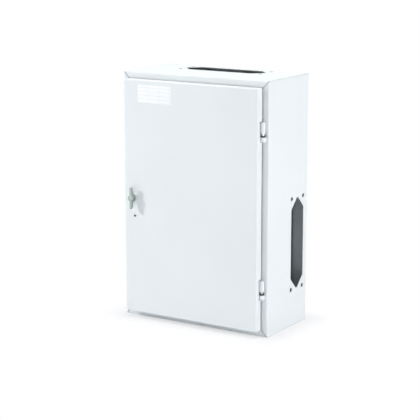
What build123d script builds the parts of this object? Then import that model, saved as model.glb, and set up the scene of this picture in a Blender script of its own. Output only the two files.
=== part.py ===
from build123d import *
import os

# Wall-mounted sheet-steel consumer unit: a folded box with a gasketed, hinged door, open
# cable entries in its top and right wall, and a chassis of modular switchgear inside.
# Millimetres. X points right, the door faces -Y, Z points up, and the origin is the
# middle of the back face.

# enclosure body
body_width = 400.0
body_height = 600.0
body_depth = 188.0          # back face to the plane of the front flange
body_sheet = 1.5
body_bend = 3.0             # outside bend radius round the front and the back
flange_width = 26.0         # outside of a wall to the inside of the sealing edge
upstand_height = 12.0       # sealing edge that stands forward into the door
upstand_corner = 6.0        # inside corner radius of the front opening
seam_width = 1.8            # welded seam where two walls and their front flanges meet
seam_depth = 1.0
wall_hole = 9.0
wall_hole_inset = 20.0      # hole centre from the outside of the walls

# pointed cable entries with their flange screw holes
gland_width = 60.0
gland_straight = 168.0      # length of the parallel part
gland_tip_radius = 8.0
gland_hole = 10.5
gland_hole_long = 221.0     # hole spacing along the entry
gland_hole_short = 55.0     # hole spacing across the entry
gland_from_back = 48.0      # entry centre line from the back face
side_gland_height = 200.0   # side entry centre from the bottom

# door
door_margin = 16.0          # body edge to door edge
door_gap = 4.0              # front flange to the rear edge of the door
door_depth = 20.0
door_sheet = 1.5
door_bend = 2.5
gasket_width = 9.0
gasket_clearance = 0.3      # uncompressed foam to the sealing edge

# hinges
hinge_end_gap = 99.0        # end of the door to the middle of the nearer hinge
hinge_inset = 12.0          # body side to the hinge axis
hinge_forward = 6.0         # front flange to the hinge axis
knuckle_radius = 5.5
arm_knuckle = 25.0
bracket_knuckle = 10.0
pin_radius = 2.5
pin_collar = 5.5            # bare pin collar between the washer and the door knuckle
pin_collar_radius = 3.2
hinge_washer = 3.5
knuckle_cap = 4.0           # closed top of the door knuckle
pin_end_gap = 1.0           # pin end to that top
washer_round = 2.5          # lower rim of the washer
hinge_arm_plate = 2.5
hinge_arm_sheet = 3.5
notch_clearance = 2.0       # door flange notch above and below the knuckles
arm_notch = 3.5             # notch in front of the door knuckle
bracket_notch = 0.9         # fixed knuckle to the corner of the notch that swings past it
running_clearance = 0.05    # radial, pins and shafts that turn
fitting_clearance = 0.02    # radial, pins and threads that stay put

# quarter-turn lock and the small parts on the door
lock_inset = 42.0           # body side to the lock axis
lock_barrel = 8.3
lock_collar = 10.3
lock_collar_thickness = 3.5
lock_collar_edge = 1.0      # chamfer round the front of the collar
lock_hole_clearance = 0.2   # radial, barrel to the door
lock_barrel_length = 14.0   # behind the door sheet
lock_nut_flats = 22.0
lock_nut_thickness = 5.0
spindle_radius = 5.0
spindle_square = 7.0
spindle_in_knob = 9.0
knob_clearance = 0.3        # knob to the collar it turns on
knob_hub = 7.5
knob_height = 16.5          # door to the front of the hub
hub_edge = 1.5              # chamfer round the front of the hub
hub_rise = 1.0              # front of the hub in front of the wings
wing_span = 54.0
wing_thickness = 6.0
wing_depth = 10.0           # at the hub; the wings thin out to their tips
wing_edge = 1.2             # chamfer round the front of the wings
cam_width = 16.0
cam_reach = 32.0
cam_thickness = 3.0
cam_gap = 3.0               # cam to the inside of the front flange
cam_screw_length = 11.0
cam_screw_head = 3.0        # height
cam_screw_radius = 4.9      # of the head
seal_screw_drop = 44.5      # lock axis down to the seal screw
seal_screw_shift = 3.0      # lock axis to the seal screw, towards the hinges
seal_screw_head = 2.4
seal_screw_rise = 1.4       # head in front of the door
seal_screw_shank = 1.6
seal_screw_length = 6.0
label_width = 94.0
label_height = 42.0
label_thickness = 0.4
label_corner = 1.5
label_side_gap = 40.0       # left door edge to the label
label_top_gap = 11.0        # top door edge to the label

# mounting plate and its studs
plate_width = 330.0
plate_height = 520.0
plate_gap = 13.5            # inside of the back to the plate
plate_sheet = 2.0
plate_fold = 9.0
stud_radius = 4.0
stud_shoulder = 7.0
stud_hole_clearance = 0.5   # radial, in the plate
stud_inset = 60.0           # plate side to the stud axis
stud_spacing_z = 440.0
stud_length = 12.0          # thread in front of the shoulder
nut_flats = 13.0
nut_height = 6.5
earth_stud_radius = 3.0
earth_stud_length = 18.0
earth_stud_foot = 5.4       # radius of the weld foot
earth_stud_foot_height = 1.5
earth_nut_flats = 10.2
earth_nut_height = 4.8
earth_stud_height = 60.0    # bottom of the body to the stud on the right wall
door_stud_inset = 40.0      # right door edge to the stud inside the door
door_stud_rise = 60.0       # lower hinge to that stud

# chassis and modular switchgear
rows = 3
modules = 14
module = 18.0
module_gap = 0.3
cover_recess = 39.5         # front flange to the front of the covers
cover_width = 336.0
cover_end_margin = 52.5     # body end to the outermost cover
cover_joint = 1.0           # between two covers
cover_fold = 8.0
cover_sheet = 1.2
cover_bend = 2.0
slot_clearance = 0.75       # device nose to the cover slot, each side
slot_corner = 1.0
pillar_inset = 19.0         # cover side to the pillar axis
pillar_end_inset = 10.0     # cover end to the pillar axis
pillar_flats = 8.0          # hexagonal pillars, across the flats
pillar_seat = 6.0           # pillar axis to the outer edge of its upright
cover_screw_head = 5.0
cover_screw_rise = 2.5
cover_screw_length = 10.0
small_screw = 2.0
small_screw_head = 4.0
small_screw_rise = 3.0
upright_width = 30.0
upright_sheet = 2.0
upright_end_margin = 2.5    # end of the outer cover to the end of the upright
rail_end_margin = 7.0       # end of a rail to the outside of the upright
rail_height = 35.0
rail_lip = 4.0              # each edge of the top hat
rail_depth = 7.5
rail_sheet = 1.0
device_proud = 4.0          # device nose in front of the cover
device_depth = 60.0         # rail face to the nose
shoulder_depth = 44.0
device_height = 85.0
nose_height = 45.0
shoulder_edge = 2.0         # chamfer on the shoulders
clip_clearance = 0.3
clip_height = 3.0
clip_depth = 2.0
clip_hook = 2.5             # grip behind the rail's lip
lever_radius = 8.0
lever_sink = 4.0            # nose face to the lever axis
lever_reach = 18.0
lever_root = 4.4            # thickness at the barrel
lever_tip = 3.2             # thickness at the end
lever_swing = 38.0          # each side of straight out, degrees
lever_clearance = 0.4
trunnion_radius = 2.0
trunnion_length = 2.5
switch_lever_width = 20.0
rcd_lever_width = 12.0
breaker_lever_width = 9.0
breaker_count = 4
button_size = 6.0
button_proud = 2.0
button_depth = 4.0          # behind the nose face
button_pocket = 6.0         # depth of its pocket
button_clearance = 0.3      # each side
button_edge = 0.8
terminal_width = 7.0
terminal_height = 9.0       # front to back
terminal_depth = 14.0
terminal_from_rail = 28.0   # rail face to the middle of the terminals
access_hole = 5.2           # screwdriver holes over the terminals
access_depth = 6.0
comb_sheet = 1.5
comb_height = 10.0
comb_gap = 2.0              # devices to the spine of the comb, below them
tooth_root = 1.0            # overlap of a tooth with the spine
comb_end = 6.0              # last tooth to the end of the comb
tooth_clearance = 0.3       # each side, in the terminals
bar_ways = 7
bar_pitch = 32.0
bar_height = 10.0
bar_depth = 8.0
bar_bore = 5.0
bar_screw_proud = 2.0
bar_support_depth = 18.0
bar_support_width = 16.0
bar_support_height = 20.0
bar_support_gap = 1.0       # inside of the upright to the support
bar_end_gap = 15.5          # end of the outer cover to the middle of the bar
blank_wall = 1.2
blank_lip = 1.5
blank_depth = 8.0
blank_clearance = 0.25      # to the ends of the slot
blank_rise = 1.0            # lip in front of the cover
blank_face = 0.5            # back of the face, behind the cover's front
snap_clearance = 0.2        # snap to the back of the cover
snap_height = 0.8
snap_length = 3.0
score_width = 0.6
score_depth = 0.4

# planes and axes that follow from the sizes
opening_width = body_width - 2 * flange_width
opening_height = body_height - 2 * flange_width
door_width = body_width - 2 * door_margin
door_height = body_height - 2 * door_margin
door_rear = -(body_depth + door_gap)
door_front = door_rear - door_depth
hinge_spread = door_height / 2 - hinge_end_gap
hinge_x = body_width / 2 - hinge_inset
hinge_y = -(body_depth + hinge_forward)
lock_x = lock_inset - body_width / 2
collar_front = door_front - lock_collar_thickness
cam_front = -(body_depth - body_sheet - cam_gap)
cam_rear = cam_front + cam_thickness
plate_rear = -(body_sheet + plate_gap)
plate_front = plate_rear - plate_sheet
cover_front = -(body_depth - cover_recess)
device_front = cover_front - device_proud
rail_front = device_front + device_depth
rail_rear = rail_front + rail_depth
pillar_x = cover_width / 2 - pillar_inset
upright_x = pillar_x + pillar_seat - upright_width
rail_length = 2 * (upright_x + upright_width - rail_end_margin)
row_pitch = (body_height - 2 * cover_end_margin) / rows
cover_height = row_pitch - cover_joint
row_heights = [row_pitch * ((rows - 1) / 2 - row) for row in range(rows)]
slot_width = modules * module + 2 * slot_clearance
slot_height = nose_height + 2 * slot_clearance
lever_y = device_front + lever_sink
terminal_y = rail_front - terminal_from_rail
bar_z = row_heights[0] + row_pitch / 2 - bar_end_gap
bar_y = rail_rear - bar_support_depth
bar_support_x = upright_x + bar_support_width / 2 + bar_support_gap
arm_base = -3.5             # hinge heights from its middle, top to bottom
arm_top = arm_base + arm_knuckle
washer_top = arm_base - pin_collar
bracket_top = washer_top - hinge_washer
bracket_base = bracket_top - bracket_knuckle
first_way = (module_gap - modules * module) / 2
rcd_left = first_way + 2 * module
rcd_lever_x = rcd_left + 0.6 * module
button_x = rcd_left + 1.5 * module
button_z = row_heights[0] + nose_height / 6
breaker_lefts = [first_way + (4 + index) * module for index in range(breaker_count)]
used_ways = 4 + breaker_count


def repeat(shape, spots):
    """One sketch made of the same shape at every spot."""
    return Sketch() + [spot * shape for spot in spots]


def along_x(sketch, start, end):
    """Extrudes a (Y, Z) sketch from x = start to x = end."""
    return extrude(Plane.YZ.offset(start) * sketch, amount=end - start, dir=(1, 0, 0))


def along_y(sketch, start, end):
    """Extrudes an (X, Z) sketch from y = start forward to y = end."""
    return extrude(Plane.XZ.offset(-start) * sketch, amount=start - end, dir=(0, -1, 0))


def along_z(sketch, start, end):
    """Extrudes an (X, Y) sketch from z = start up to z = end."""
    return extrude(Plane.XY.offset(start) * sketch, amount=end - start, dir=(0, 0, 1))


def body_box(inset):
    """Outside of the body moved in by inset, bent round the front and the back, sharp at its corners."""
    depth = body_depth - 2 * inset
    box = Pos(0, -body_depth / 2, 0) * Box(body_width - 2 * inset, depth, body_height - 2 * inset)
    loops = box.edges().group_by(Axis.Y)
    return fillet(loops[0] + loops[-1], body_bend - inset)


def tray(width, height, depth, sheet, bend, front):
    """Folded sheet tray that opens to the back, with its outside face at y = front."""
    outer = Pos(0, front + depth / 2, 0) * Box(width, depth, height)
    inner = Pos(0, front + sheet + depth / 2, 0) * Box(width - 2 * sheet, depth, height - 2 * sheet)
    rear = front + 0.75 * depth
    outer = fillet(outer.edges().filter_by(lambda edge: edge.center().Y < rear), bend)
    inner = fillet(inner.edges().filter_by(lambda edge: edge.center().Y < rear), bend - sheet + 0.01)
    return outer - inner


def gland_cutout():
    """Pointed cable entry and its four flange screw holes, lying along X."""
    half_width = gland_width / 2
    half_length = gland_straight / 2
    tip = half_length + half_width
    outline = Polygon(
        (-half_length, -half_width), (half_length, -half_width), (tip, 0),
        (half_length, half_width), (-half_length, half_width), (-tip, 0),
    )
    corners = outline.vertices().sort_by(Axis.X)
    outline = fillet([corners[0], corners[-1]], gland_tip_radius)
    return outline + repeat(Circle(gland_hole / 2), GridLocations(gland_hole_long, gland_hole_short, 2, 2))


def enclosure_body():
    sheet = body_sheet
    body = body_box(0) - body_box(sheet)
    window = RectangleRounded(opening_width, opening_height, upstand_corner)
    lip = RectangleRounded(opening_width + 2 * sheet, opening_height + 2 * sheet, upstand_corner + sheet)
    body += along_y(lip, -(body_depth - sheet), -(body_depth + upstand_height))
    body -= along_y(window, -(body_depth - 2 * sheet), -(body_depth + 2 * upstand_height))
    core = body_box(seam_depth)
    reach = 1.2 * flange_width
    inset = (reach / 2 - sheet) / 2 ** 0.5
    corner_x = body_width / 2 - inset
    corner_z = body_height / 2 - inset
    for side in (-1, 1):
        for end in (-1, 1):
            seam = Rot(0, -45 * side * end, 0) * Box(reach, body_depth, seam_width)
            body -= Pos(side * corner_x, -body_depth / 2 - body_bend, end * corner_z) * seam - core
    wall = 2 * sheet
    top = Pos(0, -gland_from_back) * gland_cutout()
    body -= along_z(top, body_height / 2 - wall, body_height / 2 + wall)
    side = Pos(-gland_from_back, side_gland_height - body_height / 2) * Rot(0, 0, 90) * gland_cutout()
    body -= along_x(side, body_width / 2 - wall, body_width / 2 + wall)
    spacing_x = body_width - 2 * wall_hole_inset
    spacing_z = body_height - 2 * wall_hole_inset
    holes = repeat(Circle(wall_hole / 2), GridLocations(spacing_x, spacing_z, 2, 2))
    body -= along_y(holes, wall, -wall)
    return body


def mounting_studs():
    spots = GridLocations(plate_width - 2 * stud_inset, stud_spacing_z, 2, 2)
    shoulders = along_y(repeat(Circle(stud_shoulder), spots), -body_sheet, plate_rear)
    threads = along_y(repeat(Circle(stud_radius), spots), plate_rear, plate_front - stud_length)
    return shoulders + threads


def mounting_plate():
    half = plate_width / 2
    edge = plate_rear + plate_fold
    profile = Polygon(
        (-half, edge), (-half, plate_front), (half, plate_front), (half, edge),
        (half - plate_sheet, edge), (half - plate_sheet, plate_rear),
        (plate_sheet - half, plate_rear), (plate_sheet - half, edge),
    )
    plate = along_z(profile, -plate_height / 2, plate_height / 2)
    bends = plate.edges().filter_by(Axis.Z).group_by(Axis.Y)[0]
    plate = fillet(bends, plate_sheet)
    spots = GridLocations(plate_width - 2 * stud_inset, stud_spacing_z, 2, 2)
    holes = repeat(Circle(stud_radius + stud_hole_clearance), spots)
    return plate - along_y(holes, plate_rear + 1, plate_front - 1) - upright_screws(fitting_clearance)


def mounting_nuts():
    nut = RegularPolygon(nut_flats / 2, 6, major_radius=False) - Circle(stud_radius + fitting_clearance)
    spots = GridLocations(plate_width - 2 * stud_inset, stud_spacing_z, 2, 2)
    return along_y(repeat(nut, spots), plate_front, plate_front - nut_height)


def upright():
    """Right-hand channel upright, open to the outside; its feet stand on the mounting plate."""
    sheet = upright_sheet
    outer = upright_x + upright_width
    profile = Polygon(
        (upright_x, plate_front), (outer, plate_front), (outer, plate_front - sheet),
        (upright_x + sheet, plate_front - sheet), (upright_x + sheet, rail_rear + sheet),
        (outer, rail_rear + sheet), (outer, rail_rear), (upright_x, rail_rear),
    )
    length = rows * row_pitch - 2 * upright_end_margin
    channel = along_z(profile, -length / 2, length / 2)
    return channel - upright_screws(fitting_clearance) - rail_screws(fitting_clearance)


def upright_screws(extra=0.0):
    """Screws through the upright feet into the plate; extra widens them into clearance holes."""
    spots = GridLocations(2 * upright_x + upright_width, row_pitch, 2, 2)
    seat = plate_front - upright_sheet
    shanks = along_y(repeat(Circle(small_screw + extra), spots), plate_rear, seat)
    heads = along_y(repeat(Circle(small_screw_head), spots), seat, seat - small_screw_rise)
    return shanks + heads


def din_rail(height):
    web = rail_height / 2 - rail_lip
    lip = rail_height / 2
    rear = rail_rear - rail_sheet
    front = rail_front + rail_sheet
    profile = Polygon(
        (rail_rear, -web), (rail_rear, web), (front, web), (front, lip), (rail_front, lip),
        (rail_front, web - rail_sheet), (rear, web - rail_sheet), (rear, rail_sheet - web),
        (rail_front, rail_sheet - web), (rail_front, -lip), (front, -lip), (front, -web),
    )
    rail = along_x(Pos(0, height) * profile, -rail_length / 2, rail_length / 2)
    return rail - rail_screws(fitting_clearance)


def rail_screws(extra=0.0):
    """Screws that hold the rails on the uprights; extra widens them into clearance holes."""
    spots = GridLocations(2 * upright_x + upright_width, row_pitch, 2, rows)
    seat = rail_rear - rail_sheet
    shanks = along_y(repeat(Circle(small_screw + extra), spots), rail_rear + upright_sheet, seat)
    heads = along_y(repeat(Circle(small_screw_head), spots), seat, seat - small_screw_rise)
    return shanks + heads


def device(left, ways, lever_middle, lever_width):
    """Modular device on the upper rail: stepped housing, rail clip, terminals and lever pocket."""
    shoulder = rail_front - shoulder_depth
    tall = device_height / 2
    nose = nose_height / 2
    hook = rail_height / 2 + clip_clearance
    under = rail_front + rail_sheet + clip_clearance
    behind = under + clip_depth
    half = [
        (device_front, nose), (shoulder, nose), (shoulder, tall - shoulder_edge),
        (shoulder + shoulder_edge, tall), (rail_front, tall), (rail_front, hook + clip_height),
        (behind, hook + clip_height), (behind, hook - clip_hook), (under, hook - clip_hook),
        (under, hook), (rail_front, hook),
    ]
    outline = half + [(y, -z) for y, z in reversed(half)]
    row = row_heights[0]
    body = along_x(Pos(0, row) * Polygon(*outline), left, left + ways * module - module_gap)
    pocket = lever_width / 2 + lever_clearance
    barrel = Pos(lever_y, row) * Circle(lever_radius + lever_clearance)
    body -= along_x(barrel, lever_middle - pocket, lever_middle + pocket)
    bearing = Pos(lever_y, row) * Circle(trunnion_radius + running_clearance)
    reach = pocket + trunnion_length
    body -= along_x(bearing, lever_middle - reach, lever_middle + reach)
    for way in range(ways):
        middle = left + (way + 0.5) * module - module_gap / 2
        for end in (-1, 1):
            face = row + end * tall
            body -= Pos(middle, terminal_y, face) * Box(terminal_width, terminal_height, 2 * terminal_depth)
            access = Pos(middle, row + end * (tall + nose) / 2) * Circle(access_hole / 2)
            body -= along_y(access, shoulder + access_depth, shoulder - 1)
    return body


def device_lever(middle, width):
    """Lever in its off position, hanging down; it turns on two trunnions."""
    lever = along_x(Circle(lever_radius), -width / 2, width / 2)
    lever += along_x(Circle(trunnion_radius), -width / 2 - trunnion_length, width / 2 + trunnion_length)
    inner = lever_radius - 2
    root = lever_root / 2
    tip = lever_tip / 2
    handle = Polygon((-inner, -root), (-lever_reach, -tip), (-lever_reach, tip), (-inner, root))
    lever += along_x(handle, -width / 2, width / 2)
    return Pos(middle, lever_y, row_heights[0]) * Rot(lever_swing, 0, 0) * lever


def middle_of(left, ways):
    return left + (ways * module - module_gap) / 2


def main_switch():
    return device(first_way, 2, middle_of(first_way, 2), switch_lever_width)


def residual_current_switch():
    body = device(rcd_left, 2, rcd_lever_x, rcd_lever_width)
    width = button_size + 2 * button_clearance
    pocket = Pos(button_x, button_z) * Rectangle(width, width)
    return body - along_y(pocket, device_front + button_pocket, device_front - 1)


def test_button():
    cap = Pos(button_x, button_z) * Rectangle(button_size, button_size)
    button = along_y(cap, device_front + button_depth, device_front - button_proud)
    front = button.faces().sort_by(Axis.Y)[0]
    return fillet(front.edges(), button_edge)


def breaker(index):
    left = breaker_lefts[index]
    return device(left, 1, middle_of(left, 1), breaker_lever_width)


def comb_busbar():
    """Copper comb whose teeth stand in the lower terminals of the breakers."""
    base = row_heights[0] - device_height / 2 - comb_gap
    teeth = [rcd_left + 1.5 * module - module_gap / 2] + [middle_of(left, 1) for left in breaker_lefts]
    low = base - comb_height
    strip = Pos((teeth[0] + teeth[-1]) / 2, (base + low) / 2) * Rectangle(
        teeth[-1] - teeth[0] + 2 * comb_end, comb_height
    )
    tooth_width = terminal_width - 2 * tooth_clearance
    tooth_height = terminal_depth
    for tooth in teeth:
        strip += Pos(tooth, base + tooth_height / 2 - tooth_root) * Rectangle(tooth_width, tooth_height)
    return along_y(strip, terminal_y + comb_sheet / 2, terminal_y - comb_sheet / 2)


def terminal_bar(height):
    """Brass bar across two supports, cross-drilled for conductors, tapped for their screws."""
    length = 2 * (bar_support_x + bar_support_width / 2)
    bar = along_y(Pos(0, height) * Rectangle(length, bar_height), bar_y, bar_y - bar_depth)
    for spot in GridLocations(bar_pitch, 1, bar_ways, 1):
        bore = Pos(spot.position.X, bar_y - bar_depth / 2) * Circle(bar_bore / 2)
        bar -= along_z(bore, height - bar_height, height + bar_height)
    return bar - bar_screws(height, fitting_clearance)


def bar_supports(height):
    block = Pos(0, height) * Rectangle(bar_support_width, bar_support_height)
    return along_y(repeat(block, GridLocations(2 * bar_support_x, 1, 2, 1)), rail_rear, bar_y)


def bar_screws(height, extra=0.0):
    """Headless clamping screws of a terminal bar; extra widens them into tapped holes."""
    screw = Pos(0, height) * Circle(small_screw + extra)
    spots = GridLocations(bar_pitch, 1, bar_ways, 1)
    return along_y(repeat(screw, spots), bar_y - bar_depth / 2, bar_y - bar_depth - bar_screw_proud)


def cover(height):
    panel = tray(cover_width, cover_height, cover_fold, cover_sheet, cover_bend, cover_front)
    panel = Pos(0, 0, height) * panel
    slot = Pos(0, height) * RectangleRounded(slot_width, slot_height, slot_corner)
    panel -= along_y(slot, cover_front + 3, cover_front - 3)
    return panel - cover_screws(fitting_clearance)


def pillar_spots():
    heights = [row + end * (cover_height / 2 - pillar_end_inset) for row in row_heights for end in (-1, 1)]
    return [Pos(side * pillar_x, height) for side in (-1, 1) for height in heights]


def cover_pillars():
    """Hexagonal pillars that stand on the uprights and carry the covers."""
    hexagon = RegularPolygon(pillar_flats / 2, 6, major_radius=False)
    pillars = along_y(repeat(hexagon, pillar_spots()), rail_rear, cover_front + cover_sheet)
    return pillars - cover_screws(fitting_clearance)


def cover_screws(extra=0.0):
    """Screws that hold the covers on the pillars; extra widens them into clearance holes."""
    screws = []
    for spot in pillar_spots():
        shank = along_y(spot * Circle(small_screw + extra), cover_front + cover_screw_length, cover_front)
        head = along_y(spot * Circle(cover_screw_head), cover_front, cover_front - cover_screw_rise)
        screws.append(shank + head)
    return Part() + screws


def blanking_strip(row, first):
    """Snap-in strip that closes the unused ways of a cover slot, scored way by way."""
    fit = slot_height / 2 - blank_clearance
    lip = cover_front - blank_rise
    snap = cover_front + cover_sheet + snap_clearance
    end = cover_front + blank_depth
    half = [
        (lip, fit + blank_lip), (cover_front, fit + blank_lip), (cover_front, fit),
        (snap, fit), (snap, fit + snap_height), (snap + snap_length, fit), (end, fit),
        (end, fit - blank_wall), (cover_front + blank_face, fit - blank_wall),
    ]
    outline = half + [(y, -z) for y, z in reversed(half)]
    left = first_way + first * module
    right = -first_way
    strip = along_x(Pos(0, row) * Polygon(*outline), left, right)
    for way in range(first + 1, modules):
        score = Pos(first_way + way * module, lip, row)
        strip -= score * Box(score_width, 2 * score_depth, 4 * fit)
    return strip


def earth_stud():
    """Weld stud on the right wall below the cable entry."""
    spot = Pos(-gland_from_back, earth_stud_height - body_height / 2)
    wall = body_width / 2 - body_sheet
    stud = along_x(spot * Circle(earth_stud_foot), wall - earth_stud_foot_height, wall)
    return stud + along_x(spot * Circle(earth_stud_radius), wall - earth_stud_length, wall)


def earth_stud_nut():
    spot = Pos(-gland_from_back, earth_stud_height - body_height / 2)
    seat = body_width / 2 - body_sheet - earth_stud_foot_height
    nut = RegularPolygon(earth_nut_flats / 2, 6, major_radius=False)
    nut -= Circle(earth_stud_radius + fitting_clearance)
    return along_x(spot * nut, seat - earth_nut_height, seat)


def door_panel():
    door = tray(door_width, door_height, door_depth, door_sheet, door_bend, door_front)
    offset = hinge_x - door_width / 2
    arm_front = hinge_y - knuckle_radius - arm_notch
    bracket_front = hinge_y - ((knuckle_radius + bracket_notch) ** 2 - offset ** 2) ** 0.5
    for middle in (hinge_spread, -hinge_spread):
        low = middle + bracket_base - notch_clearance
        split = middle + arm_base
        high = middle + arm_top + notch_clearance
        for front, start, end in ((bracket_front, low, split), (arm_front, split, high)):
            length = door_rear + 1 - front
            notch = Pos(door_width / 2, front + length / 2) * Rectangle(4 * door_sheet, length)
            door -= along_z(notch, start, end)
    lock_hole = Pos(lock_x, 0) * Circle(lock_barrel + lock_hole_clearance)
    door -= along_y(lock_hole, door_front + 2 * door_sheet, door_front - door_sheet)
    return door - seal_screw(fitting_clearance)


def hinge_bracket(middle):
    """Fixed lower knuckle, a D-shaped block welded on the front flange."""
    profile = Pos(hinge_x, hinge_y) * Circle(knuckle_radius)
    profile += Pos(hinge_x, (hinge_y - body_depth) / 2) * Rectangle(2 * knuckle_radius, hinge_forward)
    profile -= Pos(hinge_x, hinge_y) * Circle(pin_radius + fitting_clearance)
    return along_z(profile, middle + bracket_base, middle + bracket_top)


def hinge_arm(middle):
    """Upper knuckle on the door, with an arm through the notch to a plate inside the door flange."""
    inside = door_width / 2 - door_sheet
    base = middle + arm_base
    knuckle = along_z(Pos(hinge_x, hinge_y) * Circle(knuckle_radius), base, base + arm_knuckle)
    reach = hinge_x - inside + hinge_arm_plate
    arm = Pos(hinge_x - reach / 2, hinge_y - hinge_arm_sheet / 2) * Rectangle(reach, hinge_arm_sheet)
    knuckle += along_z(arm, base, base + arm_knuckle)
    plate_end = door_front + door_sheet + door_bend
    plate_middle = Pos(inside - hinge_arm_plate / 2, (hinge_y + plate_end) / 2)
    plate = plate_middle * Rectangle(hinge_arm_plate, hinge_y - plate_end)
    knuckle += along_z(plate, base, base + arm_knuckle)
    bore = Pos(hinge_x, hinge_y) * Circle(pin_radius + running_clearance)
    return knuckle - along_z(bore, base, base + arm_knuckle - knuckle_cap)


def hinge_pins():
    pin = along_z(Circle(pin_radius), bracket_base, arm_top - knuckle_cap - pin_end_gap)
    pin += along_z(Circle(pin_collar_radius), washer_top, arm_base - running_clearance)
    return Part() + [Pos(hinge_x, hinge_y, middle) * pin for middle in (hinge_spread, -hinge_spread)]


def hinge_washers():
    """Thick bearing washers with a rounded lower rim, under the door knuckles."""
    ring = Circle(knuckle_radius) - Circle(pin_radius + fitting_clearance)
    washer = along_z(ring, bracket_top, washer_top)
    rim = washer.edges().group_by(Axis.Z)[0].sort_by(SortBy.RADIUS)[-1]
    washer = fillet(rim, washer_round)
    return Part() + [Pos(hinge_x, hinge_y, middle) * washer for middle in (hinge_spread, -hinge_spread)]


def door_gasket():
    """Foam frame on the inside of the door, opposite the sealing edge."""
    width = opening_width + body_sheet
    height = opening_height + body_sheet
    ring = RectangleRounded(width + gasket_width, height + gasket_width, upstand_corner + gasket_width / 2)
    ring -= RectangleRounded(width - gasket_width, height - gasket_width, 2.0)
    back = -(body_depth + upstand_height + gasket_clearance)
    return along_y(ring, back, door_front + door_sheet)


def lock_housing():
    axis = Pos(lock_x, 0)
    collar = along_y(axis * Circle(lock_collar), door_front, collar_front)
    collar = chamfer(collar.edges().group_by(Axis.Y)[0], lock_collar_edge)
    barrel_end = door_front + door_sheet + lock_barrel_length
    barrel = along_y(axis * Circle(lock_barrel), barrel_end, door_front)
    bore = axis * Circle(spindle_radius + running_clearance)
    return collar + barrel - along_y(bore, door_front + 2 * lock_barrel_length, collar_front - 1)


def lock_nut():
    nut = RegularPolygon(lock_nut_flats / 2, 6, major_radius=False, rotation=30)
    nut -= Circle(lock_barrel + fitting_clearance)
    seat = door_front + door_sheet
    return along_y(Pos(lock_x, 0) * nut, seat + lock_nut_thickness, seat)


def wing_knob():
    """Wing knob: a round hub with two flat, round-ended wings that thin out to their tips."""
    axis = Pos(lock_x, 0)
    base = collar_front - knob_clearance
    hub_front = door_front - knob_height
    front = hub_front + hub_rise
    back = front + wing_depth
    half = wing_span / 2
    side = Polygon(
        (front, -half), (front + wing_depth / 2, -half), (back, -knob_hub),
        (back, knob_hub), (front + wing_depth / 2, half), (front, half),
    )
    wings = along_y(axis * SlotOverall(wing_span, wing_thickness, rotation=90), back, front)
    wings = chamfer(wings.edges().group_by(Axis.Y)[0], wing_edge)
    wings &= along_x(side, lock_x - wing_thickness, lock_x + wing_thickness)
    hub = along_y(axis * Circle(knob_hub), base, hub_front)
    hub = chamfer(hub.edges().group_by(Axis.Y)[0], hub_edge)
    bore = axis * Circle(spindle_radius + fitting_clearance)
    return hub + wings - along_y(bore, base + 1, collar_front - spindle_in_knob)


def lock_spindle():
    axis = Pos(lock_x, 0)
    shaft = along_y(axis * Circle(spindle_radius), cam_front, collar_front - spindle_in_knob)
    square = along_y(axis * Rectangle(spindle_square, spindle_square), cam_rear, cam_front)
    return shaft + square - cam_screw(fitting_clearance)


def lock_cam():
    """Flat cam that hangs straight down while the lock is open."""
    length = cam_reach + cam_width / 2
    shape = Pos(lock_x, (cam_width - length) / 2) * SlotOverall(length, cam_width, rotation=90)
    square = spindle_square + 2 * fitting_clearance
    shape -= Pos(lock_x, 0) * Rectangle(square, square)
    return along_y(shape, cam_rear, cam_front)


def cam_screw(extra=0.0):
    """Screw that holds the cam on the spindle; extra widens it into the tapped hole."""
    axis = Pos(lock_x, 0)
    shank = along_y(axis * Circle(small_screw + extra), cam_rear, cam_rear - cam_screw_length)
    return shank + along_y(axis * Circle(cam_screw_radius), cam_rear + cam_screw_head, cam_rear)


def seal_screw(extra=0.0):
    """Small screw under the lock that takes a sealing wire; extra widens it into its hole."""
    axis = Pos(lock_x + seal_screw_shift, -seal_screw_drop)
    shank = along_y(axis * Circle(seal_screw_shank + extra), door_front + seal_screw_length, door_front)
    return shank + along_y(axis * Circle(seal_screw_head), door_front, door_front - seal_screw_rise)


def rating_label():
    left = -door_width / 2 + label_side_gap
    top = door_height / 2 - label_top_gap
    middle = Pos(left + label_width / 2, top - label_height / 2)
    outline = middle * RectangleRounded(label_width, label_height, label_corner)
    return along_y(outline, door_front, door_front - label_thickness)


def door_earth_stud():
    """Weld stud inside the door, near the lower hinge."""
    spot = Pos(door_width / 2 - door_stud_inset, door_stud_rise - hinge_spread)
    seat = door_front + door_sheet
    stud = along_y(spot * Circle(earth_stud_foot), seat + earth_stud_foot_height, seat)
    return stud + along_y(spot * Circle(earth_stud_radius), seat + earth_stud_length, seat)


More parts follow.
